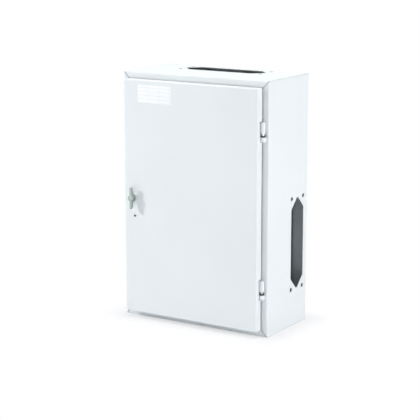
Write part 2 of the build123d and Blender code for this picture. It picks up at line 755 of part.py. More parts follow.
parts = {
    "enclosure_body": enclosure_body(),
    "mounting_studs": mounting_studs(),
    "mounting_plate": mounting_plate(),
    "mounting_nuts": mounting_nuts(),
    "left_upright": mirror(upright(), Plane.YZ),
    "right_upright": upright(),
    "upright_screws": upright_screws(),
    "rail_screws": rail_screws(),
    "main_switch": main_switch(),
    "residual_current_switch": residual_current_switch(),
    "comb_busbar": comb_busbar(),
    "neutral_bar": terminal_bar(bar_z),
    "neutral_bar_supports": bar_supports(bar_z),
    "neutral_bar_screws": bar_screws(bar_z),
    "earth_bar": terminal_bar(-bar_z),
    "earth_bar_supports": bar_supports(-bar_z),
    "earth_bar_screws": bar_screws(-bar_z),
    "cover_pillars": cover_pillars(),
    "cover_screws": cover_screws(),
    "earth_stud": earth_stud(),
    "earth_stud_nut": earth_stud_nut(),
    "upper_hinge_bracket": hinge_bracket(hinge_spread),
    "lower_hinge_bracket": hinge_bracket(-hinge_spread),
    "hinge_pins": hinge_pins(),
    "hinge_washers": hinge_washers(),
    "door_panel": door_panel(),
    "door_gasket": door_gasket(),
    "upper_hinge_arm": hinge_arm(hinge_spread),
    "lower_hinge_arm": hinge_arm(-hinge_spread),
    "lock_housing": lock_housing(),
    "lock_nut": lock_nut(),
    "seal_screw": seal_screw(),
    "rating_label": rating_label(),
    "door_earth_stud": door_earth_stud(),
    "wing_knob": wing_knob(),
    "lock_spindle": lock_spindle(),
    "lock_cam": lock_cam(),
    "cam_screw": cam_screw(),
    "main_switch_lever": device_lever(middle_of(first_way, 2), switch_lever_width),
    "residual_current_lever": device_lever(rcd_lever_x, rcd_lever_width),
    "residual_current_test_button": test_button(),
}
for level, row in zip(("upper", "middle", "lower"), row_heights):
    parts[f"{level}_din_rail"] = din_rail(row)
    parts[f"{level}_cover"] = cover(row)
    parts[f"{level}_blanking_strip"] = blanking_strip(row, used_ways if level == "upper" else 0)
for index, left in enumerate(breaker_lefts):
    parts[f"breaker_{index + 1}"] = breaker(index)
    parts[f"breaker_lever_{index + 1}"] = device_lever(middle_of(left, 1), breaker_lever_width)

os.makedirs("parts", exist_ok=True)
for node, shape in parts.items():
    export_step(shape, f"parts/{node}.step")
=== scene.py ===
import math

import bmesh
import bpy
from mathutils import Matrix, Vector


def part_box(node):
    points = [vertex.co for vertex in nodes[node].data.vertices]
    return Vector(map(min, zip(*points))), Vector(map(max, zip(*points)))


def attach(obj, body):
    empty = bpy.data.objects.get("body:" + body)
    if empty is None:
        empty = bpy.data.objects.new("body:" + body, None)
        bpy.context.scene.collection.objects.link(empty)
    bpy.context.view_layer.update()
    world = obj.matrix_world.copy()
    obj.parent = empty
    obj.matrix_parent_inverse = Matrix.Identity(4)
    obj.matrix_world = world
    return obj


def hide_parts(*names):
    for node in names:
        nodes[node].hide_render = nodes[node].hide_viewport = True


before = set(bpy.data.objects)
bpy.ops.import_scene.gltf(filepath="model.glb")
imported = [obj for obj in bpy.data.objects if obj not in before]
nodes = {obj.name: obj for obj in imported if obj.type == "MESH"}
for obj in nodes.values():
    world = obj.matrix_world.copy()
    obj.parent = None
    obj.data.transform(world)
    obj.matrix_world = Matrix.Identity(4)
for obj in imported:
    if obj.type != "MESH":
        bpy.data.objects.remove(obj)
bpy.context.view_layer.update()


# Enclosure body: one folded and welded sheet-steel box with mitred front flanges, wall holes and two
# pointed cable entries. It is painted inside and out with a light grey polyester powder coat, which
# the hinge knuckles welded to it share.

def to_linear(hex_colour):
    """The linear RGBA that Blender's sockets take, from an sRGB hex colour."""
    channels = [int(hex_colour[start:start + 2], 16) / 255 for start in (1, 3, 5)]
    linear = [c / 12.92 if c <= 0.04045 else ((c + 0.055) / 1.055) ** 2.4 for c in channels]
    return (*linear, 1.0)


def new_material(name):
    material = bpy.data.materials.new(name)
    material.use_nodes = True
    material.node_tree.nodes.clear()
    return material


def add_node(owner, kind, inputs, **settings):
    """Adds one node to a material or world: settings go to its properties, inputs to its sockets.

    An input is a link or a plain value. A colour mix takes its share as 0 and its colours as 6 and 7.
    """
    tree = owner.node_tree
    node = tree.nodes.new(kind)
    for name, value in settings.items():
        setattr(node, name, value)
    for name, value in inputs.items():
        if isinstance(value, bpy.types.NodeSocket):
            tree.links.new(value, node.inputs[name])
        else:
            node.inputs[name].default_value = value
    return node


def dress(material, *names):
    """Gives CAD nodes their material."""
    for name in names:
        nodes[name].material_slots[0].material = material


# Polyester powder coat, sprayed and baked: an even satin film whose melted grains leave a faint
# orange peel. The real peel is about 1.5 mm wide and is drawn at 4 mm, so that it shows.
peel = 0.004
cloud = 0.15
paint = new_material("polyester_powder_coat")
place = add_node(paint, "ShaderNodeTexCoord", {}).outputs["Object"]
grains = add_node(paint, "ShaderNodeTexNoise", {"Vector": place, "Scale": 1 / peel, "Detail": 2.0})
drift = add_node(paint, "ShaderNodeTexNoise", {"Vector": place, "Scale": 1 / cloud, "Detail": 1.0})
coat = add_node(
    paint, "ShaderNodeMix",
    {0: drift.outputs["Fac"], 6: to_linear("#DFE5E7"), 7: to_linear("#E5EAEC")}, data_type="RGBA",
)
gloss = add_node(
    paint, "ShaderNodeMapRange", {"Value": grains.outputs["Fac"], "To Min": 0.42, "To Max": 0.52}
)

# The welded seams lie in the planes that halve the body's corners. Along them the paint is drawn darker
# grey: partly a thinner coat over the welds, partly painted shade of the seam grooves. So they show as fine
# grey lines on the mitres of the front flange.
seam_reach = 0.0014
flange_width = 0.026
flange_y = 0.188
flange_bend = 0.003
low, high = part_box("enclosure_body")
spot = add_node(paint, "ShaderNodeVectorMath", {0: place}, operation="ABSOLUTE")
spot = add_node(paint, "ShaderNodeSeparateXYZ", {0: spot.outputs["Vector"]})
across = add_node(
    paint, "ShaderNodeMath", {0: spot.outputs["Z"], 1: spot.outputs["X"]}, operation="SUBTRACT"
)
seam_shade = add_node(
    paint, "ShaderNodeMath", {0: across.outputs[0], 1: high.z - high.x, 2: seam_reach}, operation="COMPARE"
)
outer = add_node(
    paint, "ShaderNodeMath", {0: spot.outputs["X"], 1: high.x - flange_width}, operation="GREATER_THAN"
)
front = add_node(
    paint, "ShaderNodeMath", {0: spot.outputs["Y"], 1: flange_y, 2: flange_bend}, operation="COMPARE"
)
seam_shade = add_node(paint, "ShaderNodeMath", {0: seam_shade.outputs[0], 1: outer.outputs[0]}, operation="MULTIPLY")
seam_shade = add_node(paint, "ShaderNodeMath", {0: seam_shade.outputs[0], 1: front.outputs[0]}, operation="MULTIPLY")
# Painted shade of the seam grooves, together with the thinner coat over the welds: a darker grey along the
# seams.
tone = add_node(
    paint, "ShaderNodeMix",
    {0: seam_shade.outputs[0], 6: coat.outputs[2], 7: to_linear("#B2B9BD")}, data_type="RGBA",
)
skin = add_node(
    paint, "ShaderNodeBump", {"Height": grains.outputs["Fac"], "Strength": 0.15, "Distance": 0.0002}
)
shader = add_node(
    paint, "ShaderNodeBsdfPrincipled",
    {"Base Color": tone.outputs[2], "Roughness": gloss.outputs["Result"], "Normal": skin.outputs["Normal"]},
)
add_node(paint, "ShaderNodeOutputMaterial", {"Surface": shader.outputs["BSDF"]})
dress(paint, "enclosure_body", "upper_hinge_bracket", "lower_hinge_bracket")


# Mounting plate, chassis uprights and top-hat rails: cut and folded from hot-dip galvanised strip,
# screwed together on the studs of the back.

# Galvanised steel: the zinc freezes in flat crystals about 10 mm wide, each catching the light
# a little differently.
spangle = 0.010
galvanised = new_material("galvanised_steel")
place = add_node(galvanised, "ShaderNodeTexCoord", {}).outputs["Object"]
crystals = add_node(galvanised, "ShaderNodeTexVoronoi", {"Vector": place, "Scale": 1 / spangle})
tone = add_node(
    galvanised, "ShaderNodeMix",
    {0: crystals.outputs["Color"], 6: to_linear("#868C8F"), 7: to_linear("#9DA2A5")}, data_type="RGBA",
)
gloss = add_node(
    galvanised, "ShaderNodeMapRange", {"Value": crystals.outputs["Color"], "To Min": 0.34, "To Max": 0.50}
)
shader = add_node(
    galvanised, "ShaderNodeBsdfPrincipled",
    {"Base Color": tone.outputs[2], "Metallic": 1.0, "Roughness": gloss.outputs["Result"]},
)
add_node(galvanised, "ShaderNodeOutputMaterial", {"Surface": shader.outputs["BSDF"]})
dress(
    galvanised, "mounting_plate", "left_upright", "right_upright",
    "upper_din_rail", "middle_din_rail", "lower_din_rail",
)


# Studs, nuts, pillars and chassis screws: cold-headed steel with a bright zinc plate. The studs are
# welded to the back, the door and the right wall, and capped while those are painted.

# Bright zinc plate on turned or headed steel: pale, slightly blue, with fine turning marks.
turning = 0.0008
zinc_plate = new_material("bright_zinc_plate")
place = add_node(zinc_plate, "ShaderNodeTexCoord", {}).outputs["Object"]
marks = add_node(
    zinc_plate, "ShaderNodeTexNoise", {"Vector": place, "Scale": 1 / turning, "Detail": 3.0}
)
tone = add_node(
    zinc_plate, "ShaderNodeMix",
    {0: marks.outputs["Fac"], 6: to_linear("#B7BCC0"), 7: to_linear("#CDD2D5")}, data_type="RGBA",
)
gloss = add_node(
    zinc_plate, "ShaderNodeMapRange", {"Value": marks.outputs["Fac"], "To Min": 0.22, "To Max": 0.38}
)
skin = add_node(
    zinc_plate, "ShaderNodeBump", {"Height": marks.outputs["Fac"], "Strength": 0.2, "Distance": 0.0001}
)
shader = add_node(
    zinc_plate, "ShaderNodeBsdfPrincipled",
    {"Base Color": tone.outputs[2], "Metallic": 1.0, "Roughness": gloss.outputs["Result"],
     "Normal": skin.outputs["Normal"]},
)
add_node(zinc_plate, "ShaderNodeOutputMaterial", {"Surface": shader.outputs["BSDF"]})
dress(
    zinc_plate, "mounting_nuts", "upright_screws", "rail_screws", "cover_pillars", "earth_stud_nut",
    "hinge_pins", "neutral_bar_screws", "earth_bar_screws",
)


def add_piece(name, mesh, material, body):
    """Turns a bmesh into a piece that rides on a body."""
    bmesh.ops.recalc_face_normals(mesh, faces=mesh.faces)
    data = bpy.data.meshes.new(name)
    mesh.to_mesh(data)
    mesh.free()
    data.materials.append(material)
    piece = bpy.data.objects.new(name, data)
    bpy.context.scene.collection.objects.link(piece)
    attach(piece, body)
    return piece


# Rolled threads of the weld studs, M8 on the back and M6 on the right wall and the door: each runs up
# from the stud's shoulder in one helix and ends in a chamfer. The row of values gives each stud's
# direction, radius and pitch, then the radius and the height of its shoulder.
thread_sides = 24
thread_steps = 8            # rings in one turn
thread_depth = 0.61         # share of the pitch
for studs, body, out, radius, pitch, shoulder, foot in (
    ("mounting_studs", "enclosure", Vector((0, -1, 0)), 0.004, 0.00125, 0.007, 0.0135),
    ("earth_stud", "enclosure", Vector((-1, 0, 0)), 0.003, 0.001, 0.0054, 0.0015),
    ("door_earth_stud", "door", Vector((0, 1, 0)), 0.003, 0.001, 0.0054, 0.0015),
):
    low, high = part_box(studs)
    length = abs((high - low).dot(out))
    root = (low + high - length * out) / 2
    sides = (-1, 1) if studs == "mounting_studs" else (0,)
    spread = (high - low) / 2 - Vector((shoulder, 0, shoulder))
    up = Vector((0, 0, 1))
    across = out.cross(up)
    depth = thread_depth * pitch
    rows = round((length - foot) / pitch * thread_steps)
    mesh = bmesh.new()
    for side_x, side_z in [(x, z) for x in sides for z in sides]:
        base = root + Vector((side_x * spread.x, 0, side_z * spread.z))
        profile = [(0.0, [shoulder] * thread_sides), (foot, [shoulder] * thread_sides)]
        for row in range(rows + 1):
            reach = foot + (length - foot) * row / rows
            phases = [(reach / pitch - side / thread_sides) % 1 for side in range(thread_sides)]
            crests = [radius - depth * abs(2 * phase - 1) for phase in phases]
            profile.append((reach, [min(crest, radius - depth + length - reach) for crest in crests]))
        rings = []
        for reach, radii in profile:
            angles = [math.tau * side / thread_sides for side in range(thread_sides)]
            rings.append([
                mesh.verts.new(base + reach * out + r * (math.cos(a) * across + math.sin(a) * up))
                for r, a in zip(radii, angles)
            ])
        for index, (lower, upper) in enumerate(zip(rings, rings[1:])):
            for side in range(thread_sides):
                after = (side + 1) % thread_sides
                face = mesh.faces.new((lower[side], lower[after], upper[after], upper[side]))
                face.smooth = index > 1
        mesh.faces.new(rings[0])
        mesh.faces.new(rings[-1])
    piece = add_piece(f"{studs}_thread", mesh, zinc_plate, body)
    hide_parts(studs)


# Modular devices: two-way main switch, two-way residual-current switch and four breakers, each a
# moulded housing snapped on the upper rail, with its own lever.

# Glass-filled polyamide, moulded against a spark-eroded tool: pale grey, with a fine matt grain of
# about 0.1 mm that is drawn at 0.6 mm.
housing_grain = 0.0006
housing_cloud = 0.03
housing = new_material("moulded_polyamide_housing")
place = add_node(housing, "ShaderNodeTexCoord", {}).outputs["Object"]
grains = add_node(housing, "ShaderNodeTexNoise", {"Vector": place, "Scale": 1 / housing_grain})
drift = add_node(housing, "ShaderNodeTexNoise", {"Vector": place, "Scale": 1 / housing_cloud})
tone = add_node(
    housing, "ShaderNodeMix",
    {0: drift.outputs["Fac"], 6: to_linear("#E2E3E1"), 7: to_linear("#EAEBE9")}, data_type="RGBA",
)
skin = add_node(
    housing, "ShaderNodeBump", {"Height": grains.outputs["Fac"], "Strength": 0.2, "Distance": 0.0001}
)
shader = add_node(
    housing, "ShaderNodeBsdfPrincipled",
    {"Base Color": tone.outputs[2], "Roughness": 0.5, "Normal": skin.outputs["Normal"]},
)
add_node(housing, "ShaderNodeOutputMaterial", {"Surface": shader.outputs["BSDF"]})
breakers = [f"breaker_{number}" for number in range(1, 5)]
breaker_levers = [f"breaker_lever_{number}" for number in range(1, 5)]
dress(housing, "main_switch", "residual_current_switch", *breakers)

# Levers and test button: ABS in body colour, moulded smooth, so they are glossier than the housing,
# with weak flow marks.
flow_mark = 0.004
for name, dark, light, pieces in (
    ("red_abs", "#A91F1B", "#B52823", ["main_switch_lever"]),
    ("black_abs", "#1C1D1F", "#26272A", ["residual_current_lever", *breaker_levers]),
    ("yellow_abs", "#D9A514", "#E3B12A", ["residual_current_test_button"]),
):
    lever_plastic = new_material(name)
    place = add_node(lever_plastic, "ShaderNodeTexCoord", {}).outputs["Object"]
    flow = add_node(lever_plastic, "ShaderNodeTexNoise", {"Vector": place, "Scale": 1 / flow_mark})
    tone = add_node(
        lever_plastic, "ShaderNodeMix",
        {0: flow.outputs["Fac"], 6: to_linear(dark), 7: to_linear(light)}, data_type="RGBA",
    )
    gloss = add_node(
        lever_plastic, "ShaderNodeMapRange", {"Value": flow.outputs["Fac"], "To Min": 0.28, "To Max": 0.36}
    )
    shader = add_node(
        lever_plastic, "ShaderNodeBsdfPrincipled",
        {"Base Color": tone.outputs[2], "Roughness": gloss.outputs["Result"]},
    )
    add_node(lever_plastic, "ShaderNodeOutputMaterial", {"Surface": shader.outputs["BSDF"]})
    dress(lever_plastic, *pieces)


# Front of each device: a switch-on mark over the lever, a switch-off mark under it, an empty ruled
# rating field, and a small green inlay that marks the kind of device. Rises and drops are measured
# from the middle of the device.
mark_line = 0.0005
mark_size = 0.0026
mark_sides = 24
on_rise = 0.0105
off_drop = 0.0130
field_bottom = 0.0155
field_top = 0.0205
field_half = 0.006
field_margin = 0.0025       # least, to the side of the device
inlay_drop = 0.0185
inlay_size = (0.006, 0.0006, 0.0028)
inlay_edge = 0.0002
ink_film = 0.00004
circle = [math.tau * step / mark_sides for step in range(mark_sides)]
marks = bmesh.new()
inlays = bmesh.new()


def ink_patch(left, right, bottom, top, front):
    """One printed rectangle on a face at y = front."""
    corners = ((left, bottom), (right, bottom), (right, top), (left, top))
    marks.faces.new([marks.verts.new((x, front, z)) for x, z in corners])


for device, lever in zip(
    ["main_switch", "residual_current_switch", *breakers],
    ["main_switch_lever", "residual_current_lever", *breaker_levers],
):
    low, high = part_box(device)
    lever_low, lever_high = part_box(lever)
    x = (lever_low.x + lever_high.x) / 2
    z = (low.z + high.z) / 2
    half = min(field_half, (high.x - low.x) / 2 - field_margin)
    foot = z + on_rise
    ink_patch(x - mark_line / 2, x + mark_line / 2, foot, foot + mark_size, low.y)
    rims = [
        [marks.verts.new((x + r * math.cos(a), low.y, z - off_drop + r * math.sin(a))) for a in circle]
        for r in (mark_size / 2 - mark_line, mark_size / 2)
    ]
    for step in range(len(circle)):
        marks.faces.new((rims[0][step], rims[0][step - 1], rims[1][step - 1], rims[1][step]))
    top = z + field_top
    bottom = z + field_bottom
    rule = mark_line / 2
    ink_patch(x - half, x + half, top - rule, top, low.y)
    ink_patch(x - half, x + half, bottom, bottom + rule, low.y)
    ink_patch(x - half, x - half + rule, bottom + rule, top - rule, low.y)
    ink_patch(x + half - rule, x + half, bottom + rule, top - rule, low.y)
    bmesh.ops.create_cube(
        inlays, size=1.0,
        matrix=Matrix.Translation((x, low.y, z - inlay_drop)) @ Matrix.Diagonal((*inlay_size, 1)),
    )
film = bmesh.ops.extrude_face_region(marks, geom=marks.faces[:], use_keep_orig=True)
film = [item for item in film["geom"] if isinstance(item, bmesh.types.BMVert)]
bmesh.ops.translate(marks, verts=film, vec=(0, -ink_film, 0))
bmesh.ops.bevel(inlays, geom=inlays.edges[:], offset=inlay_edge, segments=2, affect="EDGES")

# Pad-printed ink: dark grey, matt and a little uneven in cover.
ink_mottle = 0.001
ink = new_material("dark_grey_ink")
place = add_node(ink, "ShaderNodeTexCoord", {}).outputs["Object"]
cover = add_node(ink, "ShaderNodeTexNoise", {"Vector": place, "Scale": 1 / ink_mottle})
tone = add_node(
    ink, "ShaderNodeMix",
    {0: cover.outputs["Fac"], 6: to_linear("#33363A"), 7: to_linear("#44484C")}, data_type="RGBA",
)
shader = add_node(ink, "ShaderNodeBsdfPrincipled", {"Base Color": tone.outputs[2], "Roughness": 0.6})
add_node(ink, "ShaderNodeOutputMaterial", {"Surface": shader.outputs["BSDF"]})

# Clear polycarbonate over a coloured back: green, deep and glossy.
inlay_cloud = 0.002
inlay = new_material("green_polycarbonate")
place = add_node(inlay, "ShaderNodeTexCoord", {}).outputs["Object"]
clouds = add_node(inlay, "ShaderNodeTexNoise", {"Vector": place, "Scale": 1 / inlay_cloud})
tone = add_node(
    inlay, "ShaderNodeMix",
    {0: clouds.outputs["Fac"], 6: to_linear("#2E8B46"), 7: to_linear("#3BA457")}, data_type="RGBA",
)
shader = add_node(
    inlay, "ShaderNodeBsdfPrincipled",
    {"Base Color": tone.outputs[2], "Roughness": 0.2, "Coat Weight": 0.6, "Coat Roughness": 0.05},
)
add_node(inlay, "ShaderNodeOutputMaterial", {"Surface": shader.outputs["BSDF"]})

add_piece("device_print", marks, ink, "enclosure")
add_piece("device_inlays", inlays, inlay, "enclosure")


# Comb busbar and terminal bars: sheared copper and drawn brass on moulded blocks, blue for neutral
# and green for earth, which hang on the uprights.

# Bare copper and brass: rolled and drawn, warm, with soft streaks along the bar and dull patches.
streak_width = 0.0012
streak_squeeze = 0.05       # along the bar, so a streak is 20 times as long as wide
for name, dark, light, pieces in (
    ("bare_copper", "#B06A48", "#C98460", ["comb_busbar"]),
    ("drawn_brass", "#B89A58", "#CDB070", ["neutral_bar", "earth_bar"]),
):
    bar_metal = new_material(name)
    place = add_node(bar_metal, "ShaderNodeTexCoord", {}).outputs["Object"]
    along = add_node(bar_metal, "ShaderNodeMapping", {"Vector": place, "Scale": (streak_squeeze, 1, 1)})
    streaks = add_node(
        bar_metal, "ShaderNodeTexNoise",
        {"Vector": along.outputs["Vector"], "Scale": 1 / streak_width, "Detail": 3.0},
    )
    tone = add_node(
        bar_metal, "ShaderNodeMix",
        {0: streaks.outputs["Fac"], 6: to_linear(dark), 7: to_linear(light)}, data_type="RGBA",
    )
    gloss = add_node(
        bar_metal, "ShaderNodeMapRange", {"Value": streaks.outputs["Fac"], "To Min": 0.28, "To Max": 0.45}
    )
    shader = add_node(
        bar_metal, "ShaderNodeBsdfPrincipled",
        {"Base Color": tone.outputs[2], "Metallic": 1.0, "Roughness": gloss.outputs["Result"]},
    )
    add_node(bar_metal, "ShaderNodeOutputMaterial", {"Surface": shader.outputs["BSDF"]})
    dress(bar_metal, *pieces)

# Moulded polyamide of the bar blocks and the hinge washers, and the like plastic of the blanking
# strips: matt, with a fine grain.
plastic_cloud = 0.02
for name, dark, light, pieces in (
    ("blue_polyamide", "#23509B", "#2D5CA8", ["neutral_bar_supports"]),
    ("green_polyamide", "#2D7A3D", "#388A49", ["earth_bar_supports"]),
    ("black_polyamide", "#17181A", "#202124", ["hinge_washers"]),
    ("grey_blanking_plastic", "#D9DCDD", "#E1E4E5",
     ["upper_blanking_strip", "middle_blanking_strip", "lower_blanking_strip"]),
):
    plastic = new_material(name)
    place = add_node(plastic, "ShaderNodeTexCoord", {}).outputs["Object"]
    grains = add_node(plastic, "ShaderNodeTexNoise", {"Vector": place, "Scale": 1 / housing_grain})
    drift = add_node(plastic, "ShaderNodeTexNoise", {"Vector": place, "Scale": 1 / plastic_cloud})
    tone = add_node(
        plastic, "ShaderNodeMix",
        {0: drift.outputs["Fac"], 6: to_linear(dark), 7: to_linear(light)}, data_type="RGBA",
    )
    skin = add_node(
        plastic, "ShaderNodeBump", {"Height": grains.outputs["Fac"], "Strength": 0.2, "Distance": 0.0001}
    )
    shader = add_node(
        plastic, "ShaderNodeBsdfPrincipled",
        {"Base Color": tone.outputs[2], "Roughness": 0.48, "Normal": skin.outputs["Normal"]},
    )
    add_node(plastic, "ShaderNodeOutputMaterial", {"Surface": shader.outputs["BSDF"]})
    dress(plastic, *pieces)


# Slotted covers: three folded steel panels over the live parts, in the enclosure's own paint, held
# on the pillars by twelve slotted grey nylon screws.
covers = ("upper_cover", "middle_cover", "lower_cover")
dress(paint, *covers)

# Grey nylon: moulded, half matt, with the same fine grain as the housings.
screw_nylon = new_material("grey_nylon")
place = add_node(screw_nylon, "ShaderNodeTexCoord", {}).outputs["Object"]
grains = add_node(screw_nylon, "ShaderNodeTexNoise", {"Vector": place, "Scale": 1 / housing_grain})
skin = add_node(
    screw_nylon, "ShaderNodeBump", {"Height": grains.outputs["Fac"], "Strength": 0.2, "Distance": 0.0001}
)
tone = add_node(
    screw_nylon, "ShaderNodeMix",
    {0: grains.outputs["Fac"], 6: to_linear("#8C9194"), 7: to_linear("#9A9FA2")}, data_type="RGBA",
)
shader = add_node(
    screw_nylon, "ShaderNodeBsdfPrincipled",
    {"Base Color": tone.outputs[2], "Roughness": 0.45, "Normal": skin.outputs["Normal"]},
)
add_node(screw_nylon, "ShaderNodeOutputMaterial", {"Surface": shader.outputs["BSDF"]})

screw_radius = 0.005
screw_rise = 0.0025
slot_width = 0.0014
slot_depth = 0.0012
screw_edge = 0.0005
screw_inset = 0.010         # edge of the cover to the axis, up and down
head_sides = 32
arc_steps = 16
first_turn = 23             # degrees; each slot stands as the screwdriver left it
turn_step = 41
low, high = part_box("cover_screws")
seat = low.y + screw_rise
columns = (low.x + screw_radius, high.x - screw_radius)
levels = []
for cover in covers:
    cover_low, cover_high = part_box(cover)
    levels += [cover_low.z + screw_inset, cover_high.z - screw_inset]
spots = [(x, z) for x in columns for z in levels]
around = [math.tau * step / head_sides for step in range(head_sides)]
floor_rise = screw_rise - slot_depth
slot_angle = math.asin(slot_width / 2 / screw_radius)
heads = bmesh.new()


def head_ring(spot, turn, radius, rise, angles):
    """Points of a ring on a screw head, turned with its slot."""
    x, z = spot
    return [
        heads.verts.new((x + radius * math.cos(a + turn), seat - rise, z + radius * math.sin(a + turn)))
        for a in angles
    ]


for count, spot in enumerate(spots):
    turn = math.radians(first_turn + turn_step * count)
    foot = head_ring(spot, turn, screw_radius, 0.0, around)
    waist = head_ring(spot, turn, screw_radius, floor_rise, around)
    layers = [(foot, waist)]
    ends = [foot, waist]
    for start in (0.0, math.pi):
        sweep = math.pi - 2 * slot_angle
        arc = [start + slot_angle + sweep * step / arc_steps for step in range(arc_steps + 1)]
        lower = head_ring(spot, turn, screw_radius, floor_rise, arc)
        rim = head_ring(spot, turn, screw_radius, screw_rise - screw_edge, arc)
        crown = head_ring(spot, turn, screw_radius - screw_edge, screw_rise, arc)
        layers += [(lower, rim), (rim, crown)]
        ends += [lower, crown]
    for lower, upper in layers:
        for step in range(len(lower)):
            heads.faces.new((lower[step - 1], lower[step], upper[step], upper[step - 1]))
    for ring in ends:
        heads.faces.new(ring)
heads = add_piece("cover_screw_heads", heads, screw_nylon, "enclosure")
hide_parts("cover_screws")


# Door: a folded steel tray in the same paint, with a notch in its right flange for each hinge. The
# two hinge arms are welded inside that flange and hang on the pins of the body.
dress(paint, "door_panel", "upper_hinge_arm", "lower_hinge_arm")


# Door gasket: polyurethane foamed in place by a nozzle that runs once round the inside of the door.
# It sets as a rounded bead with a fine skin and meets the sealing edge of the body.
low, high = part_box("door_gasket")
bead_width = 0.009
bead_height = high.y - low.y
bead_corner = 0.0105
bead_wall = 0.45 * bead_height
bead_arch = 0.55 * bead_height
arch_steps = 12
corner_steps = 6
half_x = (high.x - low.x - bead_width) / 2
half_z = (high.z - low.z - bead_width) / 2
middle = (low + high) / 2
bend = bead_corner - bead_width / 2
path = []
for corner_x, corner_z, start in ((1, 1, 0), (-1, 1, 90), (-1, -1, 180), (1, -1, 270)):
    for step in range(corner_steps + 1):
        angle = math.radians(start + 90 * step / corner_steps)
        out = Vector((math.cos(angle), 0, math.sin(angle)))
        centre = Vector((corner_x * (half_x - bend), 0, corner_z * (half_z - bend)))
        path.append((centre + bend * out, out))
section = []
for step in range(arch_steps + 1):
    angle = math.pi * step / arch_steps
    section.append((math.cos(angle) * bead_width / 2, bead_wall + math.sin(angle) * bead_arch))
section += [(-bead_width / 2, 0), (bead_width / 2, 0)]
mesh = bmesh.new()
rings = [
    [mesh.verts.new((middle.x + spot.x + across * out.x, low.y + rise, middle.z + spot.z + across * out.z))
     for across, rise in section]
    for spot, out in path
]
for index, ring in enumerate(rings):
    following = rings[(index + 1) % len(rings)]
    for point in range(len(section)):
        after = (point + 1) % len(section)
        mesh.faces.new((ring[point], ring[after], following[after], following[point]))

# Polyurethane foam skin: dark grey, matt and finely pitted; the 0.3 mm cells are drawn at 1 mm.
foam_cell = 0.001
foam = new_material("polyurethane_foam")
place = add_node(foam, "ShaderNodeTexCoord", {}).outputs["Object"]
cells = add_node(foam, "ShaderNodeTexVoronoi", {"Vector": place, "Scale": 1 / foam_cell})
tone = add_node(
    foam, "ShaderNodeMix",
    {0: cells.outputs["Distance"], 6: to_linear("#2C2D2F"), 7: to_linear("#424446")}, data_type="RGBA",
)
skin = add_node(
    foam, "ShaderNodeBump", {"Height": cells.outputs["Distance"], "Strength": 0.4, "Distance": 0.0003}
)
shader = add_node(
    foam, "ShaderNodeBsdfPrincipled",
    {"Base Color": tone.outputs[2], "Roughness": 0.85, "Normal": skin.outputs["Normal"]},
)
add_node(foam, "ShaderNodeOutputMaterial", {"Surface": shader.outputs["BSDF"]})
for face in mesh.faces:
    face.smooth = True
gasket = add_piece("gasket_bead", mesh, foam, "door")
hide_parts("door_gasket")


# Lock: a die-cast housing that the nut clamps to the door, a die-cast wing knob on a zinc-plated
# steel spindle with its cam, and a small black screw below that takes a seal.
dress(zinc_plate, "lock_nut", "lock_spindle", "lock_cam", "cam_screw")

# Die-cast zinc, blasted: the knob stays a matt grey, and the housing is nickel-plated over it, so it
# is brighter and smoother. Both keep a fine sandy grain.
cast_grain = 0.0008
for name, dark, light, smooth, rough, piece in (
    ("blasted_zinc_casting", "#9AA3A2", "#AFB7B5", 0.50, 0.62, "wing_knob"),
    ("nickel_plated_casting", "#CFD2CC", "#DEE0DA", 0.22, 0.34, "lock_housing"),
):
    casting = new_material(name)
    place = add_node(casting, "ShaderNodeTexCoord", {}).outputs["Object"]
    sand = add_node(casting, "ShaderNodeTexNoise", {"Vector": place, "Scale": 1 / cast_grain})
    tone = add_node(
        casting, "ShaderNodeMix",
        {0: sand.outputs["Fac"], 6: to_linear(dark), 7: to_linear(light)}, data_type="RGBA",
    )
    gloss = add_node(
        casting, "ShaderNodeMapRange", {"Value": sand.outputs["Fac"], "To Min": smooth, "To Max": rough}
    )
    skin = add_node(
        casting, "ShaderNodeBump", {"Height": sand.outputs["Fac"], "Strength": 0.2, "Distance": 0.0001}
    )
    shader = add_node(
        casting, "ShaderNodeBsdfPrincipled",
        {"Base Color": tone.outputs[2], "Metallic": 1.0, "Roughness": gloss.outputs["Result"],
         "Normal": skin.outputs["Normal"]},
    )
    add_node(casting, "ShaderNodeOutputMaterial", {"Surface": shader.outputs["BSDF"]})
    dress(casting, piece)

# Black-oxide steel: oiled and nearly black, brown where the light catches the edges.
black_oxide = new_material("black_oxide_steel")
place = add_node(black_oxide, "ShaderNodeTexCoord", {}).outputs["Object"]
marks = add_node(black_oxide, "ShaderNodeTexNoise", {"Vector": place, "Scale": 1 / turning})
tone = add_node(
    black_oxide, "ShaderNodeMix",
    {0: marks.outputs["Fac"], 6: to_linear("#2A2B2D"), 7: to_linear("#3A3938")}, data_type="RGBA",
)
shader = add_node(
    black_oxide, "ShaderNodeBsdfPrincipled",
    {"Base Color": tone.outputs[2], "Metallic": 1.0, "Roughness": 0.42},
)
add_node(black_oxide, "ShaderNodeOutputMaterial", {"Surface": shader.outputs["BSDF"]})
dress(black_oxide, "seal_screw")


# Rating label: a blank white polyester film stuck to the top left of the door, ruled with empty
# fields.

# Printed polyester film: clean white with a soft sheen and thin grey rules 9 mm apart.
field_width = 0.030
row_height = 0.009
rule_width = 0.0002
low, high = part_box("rating_label")
film = new_material("white_polyester_film")
place = add_node(film, "ShaderNodeTexCoord", {}).outputs["Object"]
upright = add_node(
    film, "ShaderNodeMapping",
    {"Vector": place, "Location": (-low.x, low.z, 0), "Rotation": (math.pi / 2, 0, 0)},
)
rules = add_node(
    film, "ShaderNodeTexBrick",
    {"Vector": upright.outputs["Vector"], "Color1": to_linear("#F6F8FA"), "Color2": to_linear("#F3F6F8"),
     "Mortar": to_linear("#C9CDD0"), "Scale": 1.0, "Mortar Size": rule_width, "Mortar Smooth": 0.2,
     "Brick Width": field_width, "Row Height": row_height},
    offset=0.0,
)
shader = add_node(
    film, "ShaderNodeBsdfPrincipled", {"Base Color": rules.outputs["Color"], "Roughness": 0.35}
)
add_node(film, "ShaderNodeOutputMaterial", {"Surface": shader.outputs["BSDF"]})
